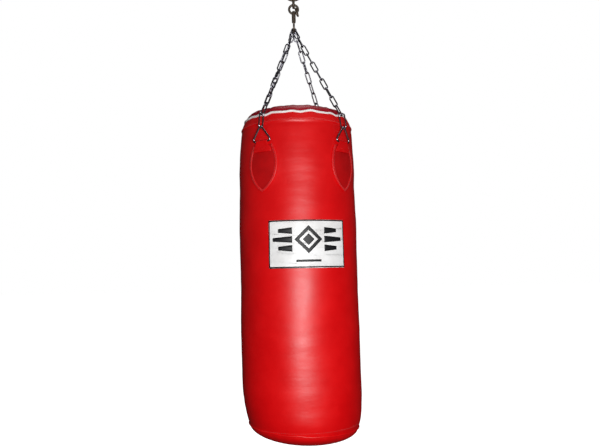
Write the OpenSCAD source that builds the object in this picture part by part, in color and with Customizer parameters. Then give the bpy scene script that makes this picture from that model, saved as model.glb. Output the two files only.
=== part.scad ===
// Heavy punching bag on a four-leg chain bridle, with its swivel and hanging ring.
// Millimetres, +Z up. The origin is the hanging point: where a ceiling hook bears
// on the inside of the top ring. The front, with the label, faces -Y.
// Heights inside a module are measured from the rim seam unless it says otherwise.

/* [Bag body] */
// Diameter just below the shoulder
shoulder_d = 343; // [300:1:400]
// Diameter near the foot, where the filling has settled
foot_d = 348; // [300:1:400]
// Length of the side wall, rim seam to bottom seam
side_h = 886; // [700:2:1200]
// Diameter of the rim seam
rim_d = 300; // [260:2:320]
// Height of the shoulder below the rim
shoulder_h = 130; // [80:5:200]
// Height of the rounded corner above the bottom seam
foot_corner_h = 86; // [50:2:120]
// How far the foot corner pulls in to the bottom seam
foot_corner_in = 14; // [6:1:24]
// How far the bottom panel bulges below its seam
bottom_bulge = 54; // [20:2:70]
// Height of the top panel above the rim seam
crown_h = 26; // [14:1:40]
// Radius of the flat middle of the top panel
crown_flat_r = 118; // [110:1:125]

/* [Skins] */
// Thickness of the vinyl skin
vinyl_t = 2; // [1.2:0.1:3]
// Thickness of the felt liner
felt_t = 4; // [2:0.5:8]
// Diameter of the white rim piping
piping_d = 5.5; // [4:0.5:7]
// Diameter of the welt at the bottom seam
welt_d = 4; // [3:0.5:5]
// Width of the webbing that stiffens the rim
rim_band_w = 25; // [15:1:40]

/* [Anchors] */
// Turn of the front-left anchor from the front, towards -X
front_left_turn = 33.5; // [30:0.5:50]
// Turn of the front-right anchor from the front, towards +X
front_right_turn = 50; // [35:0.5:55]
// Depth of the anchor bar below the rim
anchor_depth = 82; // [70:1:100]
// Widest width of a shield patch
patch_w = 92; // [70:1:110]
// Depth of a patch's widest line below the rim
patch_mid_depth = 141; // [130:1:160]
// Height of a patch above its widest line
patch_up = 40; // [30:1:45]
// Height of a patch below its widest line
patch_down = 81; // [60:1:100]
// Thickness of a patch
patch_t = 2.6; // [2:0.1:4]
// Width of the webbing loop around the anchor bar
loop_w = 38; // [25:1:40]

/* [Delta rings] */
// Rod diameter of a delta ring
delta_rod = 5; // [4:0.5:6]
// Width between the sharp corners of a delta ring's centre line
delta_w = 66; // [60:1:74]
// Height from the base's centre line to the apex's centre line
delta_h = 42; // [36:1:50]
// Bend radius of a delta ring's centre line
delta_bend = 6; // [5:0.5:8]
// Outward lean of a delta ring, degrees
delta_lean = 6; // [4:0.5:10]

/* [Snap hooks] */
// Length of a snap hook
hook_l = 50; // [44:1:60]
// Width of a snap hook
hook_w = 22; // [20:1:26]
// Wire diameter of a snap hook
hook_wire = 4.5; // [4:0.1:5]
// Inward lean of a snap hook, degrees
hook_lean = 9; // [6:0.5:11]
// Diameter of the gate pin
gate_pin_d = 1.5; // [1.2:0.1:2]

/* [Chains] */
// Links in each leg of the bridle
leg_links = 10; // [8:2:14]
// Inside length of a bridle link
link_pitch = 33.5; // [28:0.5:36]
// Outside width of a bridle link
link_w = 16; // [15:0.5:18]
// Wire diameter of a bridle link
link_wire = 4; // [3.5:0.1:4.4]
// Wire diameter of the heavy suspension links
heavy_wire = 8; // [7:0.5:9]
// Outside width of the heavy link
heavy_w = 27; // [25:0.5:30]
// Inside length of the heavy link
heavy_pitch = 24; // [22:0.5:28]

/* [Swivel] */
// Mean radius of the lower eye
lower_eye_r = 13; // [12.5:0.5:15]
// Wire diameter of the lower eye
lower_eye_wire = 6; // [5:0.5:6]
// Mean radius of the upper eye
upper_eye_r = 13.5; // [13:0.5:16]
// Wire diameter of the upper eye
upper_eye_wire = 7; // [6:0.5:7.5]
// Diameter of the swivel barrel
barrel_d = 12; // [11:0.5:16]
// Diameter of the swivel pin
swivel_pin_d = 6; // [5:0.5:7]
// Height between the centres of the two eyes
eye_gap = 56.5; // [54:0.5:70]

/* [Hanging ring] */
// Mean radius of the hanging ring
ring_r = 25.5; // [22:0.5:35]
// Rod diameter of the hanging ring
ring_rod = 9; // [8:0.5:10]

/* [Label] */
// Width of the label around the bag
label_w = 238; // [120:2:260]
// Height of the label
label_h = 131; // [60:1:180]
// Depth of the label's top edge below the rim
label_depth = 304; // [240:2:500]
// Turn of the label from the front, towards +X
label_turn = 9.5; // [-20:0.5:20]

/* [Top zip] */
// Length of the zip opening
zip_l = 210; // [160:2:220]
// Width of the zip opening
zip_w = 8; // [7:0.5:10]
// Travel of the zip slider
zip_travel = 184; // [120:2:190]

/* [Hidden] */
$fn = 48;
gap = 0.05;          // running clearance between links, and around pins
skin_gap = 0.05;     // air between a sewn-on piece and the skin under it
slack = 0.3;         // air between pieces that slide or swing past each other
big = 600;           // longer than anything it cuts
curve_steps = 14;    // straight steps along each rounded stretch of the body's outline
bend_lap = 0.5;      // how far a delta ring's straights run into its bends

// Four anchors, turned from the front (-Y) towards +X; the rear pair faces the front pair
FRONT_LEFT = 0;
FRONT_RIGHT = 1;
REAR_RIGHT = 2;
REAR_LEFT = 3;
anchor_turn = [-front_left_turn, front_right_turn,
               180 - front_left_turn, 180 + front_right_turn];

// The side wall's outer radius at a depth below the rim seam
function wall_r(depth) =
    depth < shoulder_h ?
        (rim_d + (shoulder_d - rim_d) * pow(depth / shoulder_h, 0.4)) / 2 :
    let (low = side_h - foot_corner_h,
         k = min(1, (depth - shoulder_h) / (low - shoulder_h)),
         straight = (shoulder_d + (foot_d - shoulder_d) * k) / 2)
    depth < low ? straight :
        straight - foot_corner_in * (1 - sqrt(1 - pow((depth - low) / foot_corner_h, 2)));

// Depths where the wall's outline has a point, between two depths
function wall_depths(from, to) = concat(
    [from],
    [for (i = [1:curve_steps - 1])
        let (d = shoulder_h * pow(i / curve_steps, 2)) if (d > from && d < to) d],
    [if (shoulder_h > from && shoulder_h < to) shoulder_h],
    [for (i = [0:curve_steps - 1])
        let (d = side_h - foot_corner_h * cos(90 * i / curve_steps)) if (d > from && d < to) d],
    [to]);

// Outline of a skin between two insets from the wall's outer face
function skin(outer, inner, from, to) =
    let (depths = wall_depths(from, to), n = len(depths))
    concat([for (d = depths) [wall_r(d) - outer, -d]],
           [for (i = [n - 1:-1:0]) [wall_r(depths[i]) - inner, -depths[i]]]);

// Quarter ellipses of the top panel and the bottom panel, inset by a skin
function crown_arc(inset, from_deg) =
    [for (i = [0:curve_steps])
        let (a = from_deg + (90 - from_deg) * i / curve_steps)
        [crown_flat_r + (rim_d / 2 - crown_flat_r - inset) * cos(a), (crown_h - inset) * sin(a)]];
function bottom_r() = foot_d / 2 - foot_corner_in;
function bottom_arc(inset, from_deg) =
    [for (i = [0:curve_steps])
        let (a = from_deg + (90 - from_deg) * i / curve_steps)
        [(bottom_r() - inset) * cos(a), -side_h - (bottom_bulge - inset) * sin(a)]];

layer_gap = 0.3;                     // air between the layers of the wall
liner_in = vinyl_t + felt_t;
seam_clear = 3;                      // the skins stop this far from a seam's centre
rim_flange = 12;                     // how far each piped seam's flange reaches inwards
foot_flange = 10;
flange_t = 1.6;
rim_band_t = 1.6;
fill_top = crown_h - 5.5;
fill_corner = 14;                    // how far inside the rim the filling's top corner is
// Degrees along the two arcs where the panels begin, clear of their seams
function crown_start(inset) = asin((seam_clear - 0.1) / (crown_h - inset));
bottom_start = asin((seam_clear + 0.2) / bottom_bulge);

// Snap hook and delta ring, in the anchor's own frame: -Y is outward, X runs round the bag
delta_y = -(wall_r(anchor_depth) + 4.7);
delta_base = delta_w / 2;
// Height of the sharp triangle whose rounded apex comes to delta_h, closed in on step by step
function sharp_h(steps) = steps == 0 ? delta_h :
    delta_h + delta_bend * (1 / cos(atan2(sharp_h(steps - 1), delta_base)) - 1);
delta_sharp_h = sharp_h(12);
delta_foot_angle = atan2(delta_sharp_h, delta_base);
apex_y = delta_y - delta_h * sin(delta_lean);
apex_z = -anchor_depth + delta_h * cos(delta_lean);
hook_r = (hook_w - hook_wire) / 2;
hook_half = (hook_l - hook_w) / 2;   // half the length of the hook's straight sides
hook_seat = (delta_rod + hook_wire) / 2 + gap * 2;
hook_y = apex_y + (hook_half + hook_r - hook_seat) * sin(hook_lean);
hook_z = apex_z + (hook_half + hook_r - hook_seat) * cos(hook_lean);
crown_y = hook_y + hook_half * sin(hook_lean);
crown_z = hook_z + hook_half * cos(hook_lean);

// Gate, measured along the hook from its middle
pin_z = -9;
gate_top = 10.5;
stub_low = -12;
stub_high = 11.2;
tab_t = 2;
tab_h = pin_z - stub_low + 2.9;
slot_t = 2.3;

// The four top links sit side by side round the bottom of the lower eye
eye_seat_r = lower_eye_r - (lower_eye_wire + link_wire) / 2 - 2 * gap;
seat_step = 33;                      // degrees round the eye from one top link to the next
seat_turn = [-1.5 * seat_step, -seat_step / 2, 1.5 * seat_step, seat_step / 2];
leg_span = leg_links * link_pitch + link_wire - (leg_links - 1) * gap;
hook_to_link = hook_r - (hook_wire + link_wire) / 2 - gap;
leg_reach = -crown_y - eye_seat_r * sin(seat_turn[REAR_RIGHT]) * cos(front_left_turn);
leg_ease = 1.1;                      // how much lower the eye hangs than the longest reach
eye_z = crown_z + sqrt(pow(leg_span + hook_to_link, 2) - pow(leg_reach, 2))
        + eye_seat_r * cos(seat_turn[REAR_RIGHT]) - leg_ease;

// Heights of the suspension, from the rim
upper_z = eye_z + eye_gap;
sway_z = upper_z + upper_eye_r - (upper_eye_wire + heavy_wire) / 2 - 2 * gap;
heavy_mid_z = sway_z + (heavy_pitch + heavy_wire) / 2;
swing_z = sway_z + heavy_pitch + heavy_wire - (heavy_wire + ring_rod) / 2 - slack;
ring_z = swing_z + ring_r;
rim_z = -(ring_z + ring_r - ring_rod / 2);   // the rim seam's height in the row's frame

// Zip, measured from the top panel's upper face
tape_t = 1;
tooth_gap = 1.2;
tooth_w = 1.7;
slider_x = -zip_travel / 2;
puller_z = crown_h + 3.9;

module at_rim() { translate([0, 0, rim_z]) children(); }
module at_anchor(i) { at_rim() rotate([0, 0, anchor_turn[i]]) children(); }
module on_hook(i) {
    at_anchor(i) translate([0, hook_y, hook_z]) rotate([-hook_lean, 0, 0]) children();
}

// Half a torus in the YZ plane, bulging towards +Z
module half_bend(r, d) {
    rotate([0, -90, 0]) rotate([0, 0, -90])
        rotate_extrude(angle = 180) translate([r, 0]) circle(d = d);
}

// A chain link in the YZ plane, centred
module link(pitch, width, wire) {
    r = (width - wire) / 2;
    half = pitch / 2 - r + wire / 2;
    for (s = [-1, 1])
        translate([0, s * r, -half]) cylinder(d = wire, h = 2 * half);
    translate([0, 0, half]) half_bend(r, wire);
    translate([0, 0, -half]) rotate([180, 0, 0]) half_bend(r, wire);
}

// ---- Bag body ----

module cover_tube() {
    color("#c8161c") at_rim()
        rotate_extrude() polygon(skin(0, vinyl_t, seam_clear, side_h - seam_clear));
}

module top_panel() {
    color("#9c1420") at_rim() difference() {
        rotate_extrude() polygon(concat(
            crown_arc(0, crown_start(0)), [[0, crown_h], [0, crown_h - vinyl_t]],
            [for (i = [curve_steps:-1:0]) crown_arc(vinyl_t, crown_start(vinyl_t))[i]]));
        cube([zip_l, zip_w, 4 * crown_h], center = true);
    }
}

module bottom_panel() {
    color("#8c0e14") at_rim() rotate_extrude() polygon(concat(
        bottom_arc(0, bottom_start),
        [for (i = [curve_steps:-1:0]) bottom_arc(vinyl_t, bottom_start)[i]]));
}

// A piped seam: the round bead and the flange sewn in between the two skins
module piped_seam(r, bead_d, flange_in) {
    rotate_extrude() {
        translate([r, 0]) circle(d = bead_d);
        translate([r - flange_in, -flange_t / 2]) square([flange_in, flange_t]);
    }
}

module rim_piping() {
    color("#efe9e6") at_rim() piped_seam(rim_d / 2 + 1, piping_d, rim_flange);
}

module bottom_welt() {
    color("#a01218") at_rim() translate([0, 0, -side_h]) piped_seam(bottom_r() + 0.5, welt_d, foot_flange);
}

module rim_band() {
    color("#3a3a3c") at_rim()
        rotate_extrude() polygon(skin(vinyl_t + layer_gap, vinyl_t + layer_gap + rim_band_t,
                                      seam_clear, seam_clear + rim_band_w));
}

module felt_liner() {
    color("#8f8a80") at_rim() rotate_extrude()
        polygon(skin(vinyl_t + layer_gap, liner_in, seam_clear + rim_band_w + 1,
                     side_h - seam_clear - 1));
}

module filling() {
    depths = wall_depths(seam_clear + rim_band_w, side_h - 2 * seam_clear);
    corner_r = rim_d / 2 - fill_corner;
    waist_r = bottom_r() - foot_flange - 1;
    color("#6f747c") at_rim() rotate_extrude() polygon(concat(
        [[0, fill_top], [crown_flat_r - 4, fill_top], [corner_r, 1], [corner_r + 4, -8]],
        [for (d = depths) [wall_r(d) - liner_in - layer_gap, -d]],
        [[waist_r, -side_h + flange_t], [waist_r, -side_h - flange_t]],
        bottom_arc(vinyl_t + 0.5, 3 * bottom_start)));
}

module label_panel() {
    arc = label_w / (shoulder_d / 2) * 180 / PI;
    depths = [label_depth, label_depth + label_h];
    color("#f4f2ee") at_rim() rotate([0, 0, label_turn - 90 - arc / 2])
        rotate_extrude(angle = arc)
            polygon(skin(-0.8, -skin_gap, depths[0], depths[1]));
}

// ---- Anchors ----

// The shield outline as a prism along Y: two round sides that meet in a point, cut flat on top
module shield_prism() {
    side_r = (pow(patch_w / 2, 2) + pow(patch_down, 2)) / patch_w;
    intersection() {
        translate([patch_w / 2 - side_r, -big / 2, 0])
            rotate([90, 0, 0]) cylinder(r = side_r, h = big, center = true);
        translate([side_r - patch_w / 2, -big / 2, 0])
            rotate([90, 0, 0]) cylinder(r = side_r, h = big, center = true);
        translate([-patch_w, -big, -patch_down - 1]) cube([2 * patch_w, big, patch_down + patch_up + 1]);
    }
}

// The tongue of the webbing loop, which is sewn in under the patch
module tongue(grow) {
    intersection() {
        rotate_extrude()
            polygon(skin(-1.6 - grow, -skin_gap + grow, anchor_depth - 1, patch_mid_depth));
        translate([-loop_w / 2 - grow, -big, -patch_mid_depth])
            cube([loop_w + 2 * grow, big, patch_mid_depth - anchor_depth - 1 + grow]);
    }
}

module patch(i) {
    color("#b0121a") at_anchor(i) difference() {
        intersection() {
            rotate_extrude() polygon(skin(-patch_t, -skin_gap, patch_mid_depth - patch_up - 5,
                                          patch_mid_depth + patch_down + 5));
            translate([0, 0, -patch_mid_depth]) shield_prism();
        }
        tongue(0.05);
    }
}

module webbing_loop(i) {
    color("#a81219") at_anchor(i) difference() {
        union() {
            translate([0, delta_y, -anchor_depth]) rotate([0, 90, 0])
                cylinder(d = delta_rod + 4.2, h = loop_w, center = true);
            tongue(0);
        }
        translate([0, delta_y, -anchor_depth]) rotate([0, 90, 0])
            cylinder(d = delta_rod + 0.2, h = 2 * loop_w, center = true);
    }
}

// A bent corner of the delta ring: part of a torus, sweep degrees of it from the X axis
module delta_corner(sweep) {
    rotate_extrude(angle = sweep) translate([delta_bend, 0]) circle(d = delta_rod);
}

// The ring's straights run a little way into its bends, so each is a hair thinner than the bends
module delta_ring(i) {
    foot = delta_foot_angle;
    foot_cut = delta_bend / tan(foot / 2) - bend_lap;
    apex_cut = delta_bend / tan(90 - foot) - bend_lap;
    side = [cos(foot), 0, sin(foot)];
    straight_d = delta_rod - 0.1;
    color("#c9c9cf") at_anchor(i) translate([0, delta_y, -anchor_depth]) rotate([delta_lean, 0, 0]) {
        rod([-delta_base + foot_cut, 0, 0], [delta_base - foot_cut, 0, 0], straight_d);
        for (s = [0, 1]) mirror([s, 0, 0]) {
            rod([-delta_base, 0, 0] + foot_cut * side, [0, 0, delta_sharp_h] - apex_cut * side, straight_d);
            translate([-delta_base + foot_cut + bend_lap, 0, delta_bend])
                rotate([90, 0, 0]) rotate([0, 0, 90 + foot]) delta_corner(180 - foot);
        }
        translate([0, 0, delta_sharp_h - delta_bend / cos(foot)])
            rotate([90, 0, 0]) rotate([0, 0, 90 - foot]) delta_corner(2 * foot);
    }
}

// A round rod from one point to another
module rod(from, to, d) {
    v = to - from;
    translate(from) rotate([0, acos(v[2] / norm(v)), atan2(v[1], v[0])]) cylinder(h = norm(v), d = d);
}

// ---- Snap hooks ----

module snap_hook(i) {
    color("#bfc0c6") on_hook(i) difference() {
        union() {
            translate([0, hook_r, -hook_half]) cylinder(d = hook_wire, h = 2 * hook_half);
            translate([0, 0, hook_half]) half_bend(hook_r, hook_wire);
            translate([0, 0, -hook_half]) rotate([180, 0, 0]) half_bend(hook_r, hook_wire);
            translate([0, -hook_r, -hook_half]) cylinder(d = hook_wire, h = stub_low + hook_half);
            translate([0, -hook_r, stub_high]) cylinder(d = hook_wire, h = hook_half - stub_high);
            intersection() {
                translate([0, -hook_r, stub_low - 1]) cylinder(d = hook_wire - 0.1, h = tab_h);
                translate([-tab_t / 2, -hook_r - hook_wire, stub_low - 1])
                    cube([tab_t, 2 * hook_wire, tab_h]);
            }
            translate([-tab_t / 2, -hook_r - 1, gate_top - 2.4])
                cube([tab_t, 2, stub_high - gate_top + 3.4]);
        }
        translate([0, -hook_r, pin_z]) rotate([0, 90, 0])
            cylinder(d = gate_pin_d + 2 * gap, h = 2 * hook_wire, center = true);
    }
}

module hook_gate(i) {
    color("#cfd0d5") on_hook(i) difference() {
        union() {
            translate([0, -hook_r, pin_z]) cylinder(d = hook_wire - 0.2, h = gate_top - pin_z);
            intersection() {
                translate([0, -hook_r, pin_z]) rotate([0, 90, 0])
                    cylinder(d = hook_wire - 0.2, h = hook_wire, center = true);
                translate([0, -hook_r, pin_z - hook_wire]) cylinder(d = hook_wire - 0.2, h = 2 * hook_wire);
            }
        }
        translate([-slot_t / 2, -hook_r - hook_wire, pin_z - hook_wire])
            cube([slot_t, 2 * hook_wire, hook_wire + 2.9]);
        translate([-slot_t / 2, -hook_r - hook_wire, gate_top - 2.9])
            cube([slot_t, 2 * hook_wire, 6]);
        translate([0, -hook_r, pin_z]) rotate([0, 90, 0])
            cylinder(d = gate_pin_d, h = 2 * hook_wire, center = true);
        translate([0, -hook_r, pin_z + 4]) cylinder(d = 2.2, h = 8);
    }
}

module gate_pin(i) {
    color("#8f9096") on_hook(i) translate([0, -hook_r, pin_z]) rotate([0, 90, 0])
        cylinder(d = gate_pin_d, h = hook_wire - 0.6, center = true);
}

module gate_spring(i) {
    color("#77787d") on_hook(i) translate([0, -hook_r, pin_z + 4]) difference() {
        cylinder(d = 2.2, h = 8);
        translate([0, 0, -1]) cylinder(d = 1.2, h = 10);
    }
}

// ---- Chain legs ----

function turned(v, a) = [v[0] * cos(a) - v[1] * sin(a), v[0] * sin(a) + v[1] * cos(a), v[2]];
function unit(v) = v / norm(v);
// The nearest turn to zero that brings a link's plane to the same place
function half_wrap(a) = a - 180 * round(a / 180);

// Roll of a direction about a leg that points along v, from the leg frame's own X
function roll_of(v, n) =
    let (tilt = acos(v[2]), heading = atan2(v[1], v[0]),
         ex = [cos(tilt) * cos(heading), cos(tilt) * sin(heading), -sin(tilt)],
         ey = [-sin(heading), cos(heading), 0])
    atan2(n * ey, n * ex);

// One leg: straight and taut from the snap hook to its own place on the lower eye. Each
// link stands square to the next, with the leg's twist shared out evenly between them.
module chain_leg(i) {
    low = turned([0, crown_y, crown_z], anchor_turn[i]);
    seat = [0, eye_seat_r * sin(seat_turn[i]), eye_z - eye_seat_r * cos(seat_turn[i])];
    lean = unit(seat - low);
    inward = [0, -sin(seat_turn[i]), cos(seat_turn[i])];
    // the leaning link's crown stands off the eye's plane, so that its middle rides on the wire
    top = seat + [(lower_eye_r - eye_seat_r) * lean[0] / (lean * inward), 0, 0];
    v = unit(top - low);
    start = hook_to_link + (link_pitch + link_wire) / 2;
    step = (norm(top - low) - hook_to_link - link_pitch - link_wire) / (leg_links - 1);
    outward = turned([0, -1, 0], anchor_turn[i]);
    roll_low = roll_of(v, unit(outward - v * (outward * v)));
    roll_top = roll_of(v, unit(cross([1, 0, 0], v)));
    twist = half_wrap(roll_top - roll_low - 90 * (leg_links - 1)) / (leg_links - 1);
    color("#aeb0b8") at_rim() translate(low) rotate([0, acos(v[2]), atan2(v[1], v[0])])
        for (k = [0:leg_links - 1])
            translate([0, 0, start + k * step]) rotate([0, 0, roll_low + k * (90 + twist)])
                link(link_pitch, link_w, link_wire);
}

// ---- Swivel ----

collar_z = lower_eye_r + 2;
washer_z = collar_z + 2.6;
barrel_z = washer_z + 1.4;
head_z = eye_gap - upper_eye_r + upper_eye_wire / 2 + 0.5;
head_h = 3.5;

module swivel_eye_pin() {
    color("#a3a09a") at_rim() translate([0, 0, eye_z]) {
        rotate([0, 90, 0]) rotate_extrude() translate([lower_eye_r, 0]) circle(d = lower_eye_wire);
        translate([0, 0, lower_eye_r]) cylinder(d = swivel_pin_d, h = head_z + head_h - lower_eye_r);
        translate([0, 0, collar_z - 1.5]) cylinder(d1 = 7, d2 = 11, h = 1.5);
        translate([0, 0, collar_z]) cylinder(d = 11, h = 2.5);
    }
}

module swivel_washer() {
    color("#8d8b86") at_rim() translate([0, 0, eye_z + washer_z]) difference() {
        cylinder(d = barrel_d, h = 1.2);
        translate([0, 0, -1]) cylinder(d = swivel_pin_d + 0.4, h = 4);
    }
}

module swivel_head() {
    color("#8d8b86") at_rim() translate([0, 0, eye_z + head_z]) difference() {
        cylinder(d1 = 10, d2 = 8.4, h = head_h);
        translate([0, 0, -1]) cylinder(d = swivel_pin_d, h = head_h + 2);
    }
}

module swivel_housing() {
    color("#97908a") at_rim() translate([0, 0, eye_z]) difference() {
        union() {
            translate([0, 0, eye_gap]) rotate([90, 0, 0])
                rotate_extrude() translate([upper_eye_r, 0]) circle(d = upper_eye_wire);
            translate([0, 0, barrel_z]) cylinder(d = barrel_d, h = head_z - 1 - barrel_z);
        }
        translate([0, 0, barrel_z - 1]) cylinder(d = swivel_pin_d + 2 * gap, h = eye_gap - barrel_z);
        translate([0, 0, head_z - 0.2]) cylinder(d = 10.6, h = 10);
    }
}

// ---- Suspension ----

// A link of the old chain left on the swivel, hanging beside it
module spare_link() {
    hang = [6.6, 0, 3.1];
    foot = [12.4, 0, -21];
    v = hang - foot;
    color("#8a8178") at_rim() translate([0, 0, upper_z]) translate((hang + foot) / 2)
        rotate([0, atan2(v[0], v[2]), 0]) rotate([0, 0, -18])
            link(norm(v) - 5, 20, 5);
}

module heavy_link() {
    color("#857b70") at_rim() translate([0, 0, heavy_mid_z]) link(heavy_pitch, heavy_w, heavy_wire);
}

module hanging_ring() {
    color("#8c857d") at_rim() translate([0, 0, ring_z]) rotate([90, 0, 0])
        rotate_extrude() translate([ring_r, 0]) circle(d = ring_rod);
}

// ---- Top zip ----

module zip_tape(side) {
    color("#1f1f22") at_rim()
        translate([-zip_l / 2 - 6, side > 0 ? tooth_gap / 2 + tooth_w : -14 - tooth_gap / 2 - tooth_w,
                   crown_h - vinyl_t - tape_t])
            cube([zip_l + 12, 14, tape_t]);
}

module zip_teeth() {
    color("#2b2b2f") at_rim() for (s = [0, 1]) mirror([0, s, 0])
        translate([-zip_l / 2 + 2, tooth_gap / 2, crown_h - vinyl_t - tape_t])
            cube([zip_l - 4, tooth_w, 2.6]);
}

module zip_stops() {
    color("#8e9096") at_rim() for (s = [0, 1]) mirror([s, 0, 0])
        translate([zip_l / 2 - 2, -zip_w / 2 + 0.8, crown_h - vinyl_t - tape_t + 1.1])
            cube([2, zip_w - 1.6, 2]);
}

module zip_slider() {
    color("#a8a9ae") at_rim() translate([slider_x, 0, 0]) {
        translate([-7, -4.5, crown_h + slack]) cube([14, 9, 1.4]);
        translate([-7, -3.5, crown_h - 4.6]) cube([14, 7, 1.2]);
        translate([-3, -0.5, crown_h - 4]) cube([6, 1, 5]);
        for (s = [0, 1]) mirror([0, s, 0])
            translate([-2, 2.2, crown_h + 1]) cube([4, 1.6, puller_z - crown_h + 0.8]);
        translate([0, 0, puller_z]) rotate([90, 0, 0]) cylinder(d = 2, h = 6, center = true);
    }
}

module zip_puller() {
    color("#9b9ca2") at_rim() translate([slider_x, 0, puller_z]) difference() {
        union() {
            rotate([90, 0, 0]) cylinder(d = 3.6, h = 4, center = true);
            translate([0, -2, -0.7]) cube([8, 4, 1.4]);
            translate([6, -3.5, -0.7]) cube([24, 7, 1.4]);
        }
        rotate([90, 0, 0]) cylinder(d = 2 + 2 * gap, h = 10, center = true);
        translate([24, 0, -5]) cylinder(d = 3, h = 10);
    }
}

cover_tube();
top_panel();
bottom_panel();
rim_piping();
bottom_welt();
rim_band();
felt_liner();
filling();
label_panel();
patch(FRONT_LEFT);  // patch_front_left
patch(FRONT_RIGHT);  // patch_front_right
patch(REAR_RIGHT);  // patch_rear_right
patch(REAR_LEFT);  // patch_rear_left
webbing_loop(FRONT_LEFT);  // loop_front_left
webbing_loop(FRONT_RIGHT);  // loop_front_right
webbing_loop(REAR_RIGHT);  // loop_rear_right
webbing_loop(REAR_LEFT);  // loop_rear_left
delta_ring(FRONT_LEFT);  // delta_ring_front_left
delta_ring(FRONT_RIGHT);  // delta_ring_front_right
delta_ring(REAR_RIGHT);  // delta_ring_rear_right
delta_ring(REAR_LEFT);  // delta_ring_rear_left
snap_hook(FRONT_LEFT);  // snap_hook_front_left
snap_hook(FRONT_RIGHT);  // snap_hook_front_right
snap_hook(REAR_RIGHT);  // snap_hook_rear_right
snap_hook(REAR_LEFT);  // snap_hook_rear_left
hook_gate(FRONT_LEFT);  // hook_gate_front_left
hook_gate(FRONT_RIGHT);  // hook_gate_front_right
hook_gate(REAR_RIGHT);  // hook_gate_rear_right
hook_gate(REAR_LEFT);  // hook_gate_rear_left
gate_pin(FRONT_LEFT);  // gate_pin_front_left
gate_pin(FRONT_RIGHT);  // gate_pin_front_right
gate_pin(REAR_RIGHT);  // gate_pin_rear_right
gate_pin(REAR_LEFT);  // gate_pin_rear_left
gate_spring(FRONT_LEFT);  // gate_spring_front_left
gate_spring(FRONT_RIGHT);  // gate_spring_front_right
gate_spring(REAR_RIGHT);  // gate_spring_rear_right
gate_spring(REAR_LEFT);  // gate_spring_rear_left
chain_leg(FRONT_LEFT);  // chain_leg_front_left
chain_leg(FRONT_RIGHT);  // chain_leg_front_right
chain_leg(REAR_RIGHT);  // chain_leg_rear_right
chain_leg(REAR_LEFT);  // chain_leg_rear_left
swivel_eye_pin();
swivel_washer();
swivel_head();
swivel_housing();
spare_link();
heavy_link();
hanging_ring();
zip_tape(-1);  // zip_tape_front
zip_tape(1);  // zip_tape_rear
zip_teeth();
zip_stops();
zip_slider();
zip_puller();
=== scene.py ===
from math import atan2, ceil, cos, exp, hypot, pi, radians, sin, sqrt

import bmesh
import bpy
from mathutils import Matrix, Vector, noise
from mathutils.bvhtree import BVHTree


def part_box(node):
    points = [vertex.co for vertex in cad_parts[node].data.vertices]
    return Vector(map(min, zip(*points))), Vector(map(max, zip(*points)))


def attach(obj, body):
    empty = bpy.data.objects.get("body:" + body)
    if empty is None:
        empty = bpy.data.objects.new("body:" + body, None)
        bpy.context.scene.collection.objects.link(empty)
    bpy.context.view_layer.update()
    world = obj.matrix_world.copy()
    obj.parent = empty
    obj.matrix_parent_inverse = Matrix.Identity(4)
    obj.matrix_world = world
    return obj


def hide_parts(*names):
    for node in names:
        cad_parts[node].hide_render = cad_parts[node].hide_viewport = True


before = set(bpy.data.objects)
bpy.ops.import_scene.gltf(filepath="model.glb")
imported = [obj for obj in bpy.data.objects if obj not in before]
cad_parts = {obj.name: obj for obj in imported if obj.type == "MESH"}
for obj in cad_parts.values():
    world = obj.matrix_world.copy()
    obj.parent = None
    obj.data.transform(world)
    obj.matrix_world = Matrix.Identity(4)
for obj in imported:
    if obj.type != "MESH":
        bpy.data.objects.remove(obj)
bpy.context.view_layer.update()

MM = 0.001

# ---- The stuffed cover -------------------------------------------------------------------------
# A tube of red PVC-coated canvas with a felt lining, packed hard with cut textile. It bellies a
# little between its seams, and it carries soft lumps where the filling has settled.

RIM_Z = (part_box("rim_piping")[0].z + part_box("rim_piping")[1].z) / 2
FOOT_Z = (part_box("bottom_welt")[0].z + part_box("bottom_welt")[1].z) / 2
ANCHOR_TURNS = [radians(t) for t in (-33.5, 50, 146.5, 230)]    # from the front, towards the right
ANCHOR_NAMES = ["front_left", "front_right", "rear_right", "rear_left"]
HEM_DEPTH = 25 * MM             # the stitched fold below the rim
SIDE_H = 886 * MM               # from the rim seam to the bottom seam
PANEL_R = 149 * MM              # inside this the tube's end lies under the top panel
FOOT_R = 160 * MM               # the bottom seam's radius
SETTLE_FROM, SETTLE_OVER = 700 * MM, 180 * MM   # depths over which the filling has sunk sideways
AROUND = 168                    # columns round the cover

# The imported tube's radius at each depth below the rim, in millimetres
COVER_GIRTH = [
    (0, 151.5), (6, 156.5), (14, 160.4), (25, 163.6), (40, 165.4), (60, 167.4), (84, 169.2),
    (108, 171.2), (156, 173.0), (204, 172.4), (263, 173.4), (323, 174.4), (394, 175.2),
    (441, 175.4), (528, 174.6), (615, 174.6), (719, 175.0), (770, 176.0), (800, 175.4),
    (834, 173.4), (857, 170.4), (872, 166.4), (881, 162.4), (886, 159.6),
]


def linear(hex_colour):
    """A hex sRGB colour as linear red, green, blue and 1."""
    parts = [int(hex_colour[i:i + 2], 16) / 255 for i in (1, 3, 5)]
    return [c / 12.92 if c <= 0.04045 else ((c + 0.055) / 1.055) ** 2.4 for c in parts] + [1]


def add_node(tree, kind, inputs=None, **settings):
    """Adds one shader node; an input is a plain value or the output socket that feeds it."""
    made = tree.nodes.new("ShaderNode" + kind)
    for name, value in settings.items():
        setattr(made, name, value)
    for socket, value in (inputs or {}).items():
        if isinstance(value, bpy.types.NodeSocket):
            tree.links.new(value, made.inputs[socket])
        else:
            made.inputs[socket].default_value = value
    return made


def new_material(name):
    """An empty node material and its tree."""
    material = bpy.data.materials.new(name)
    material.use_nodes = True
    material.node_tree.nodes.clear()
    return material, material.node_tree


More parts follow.
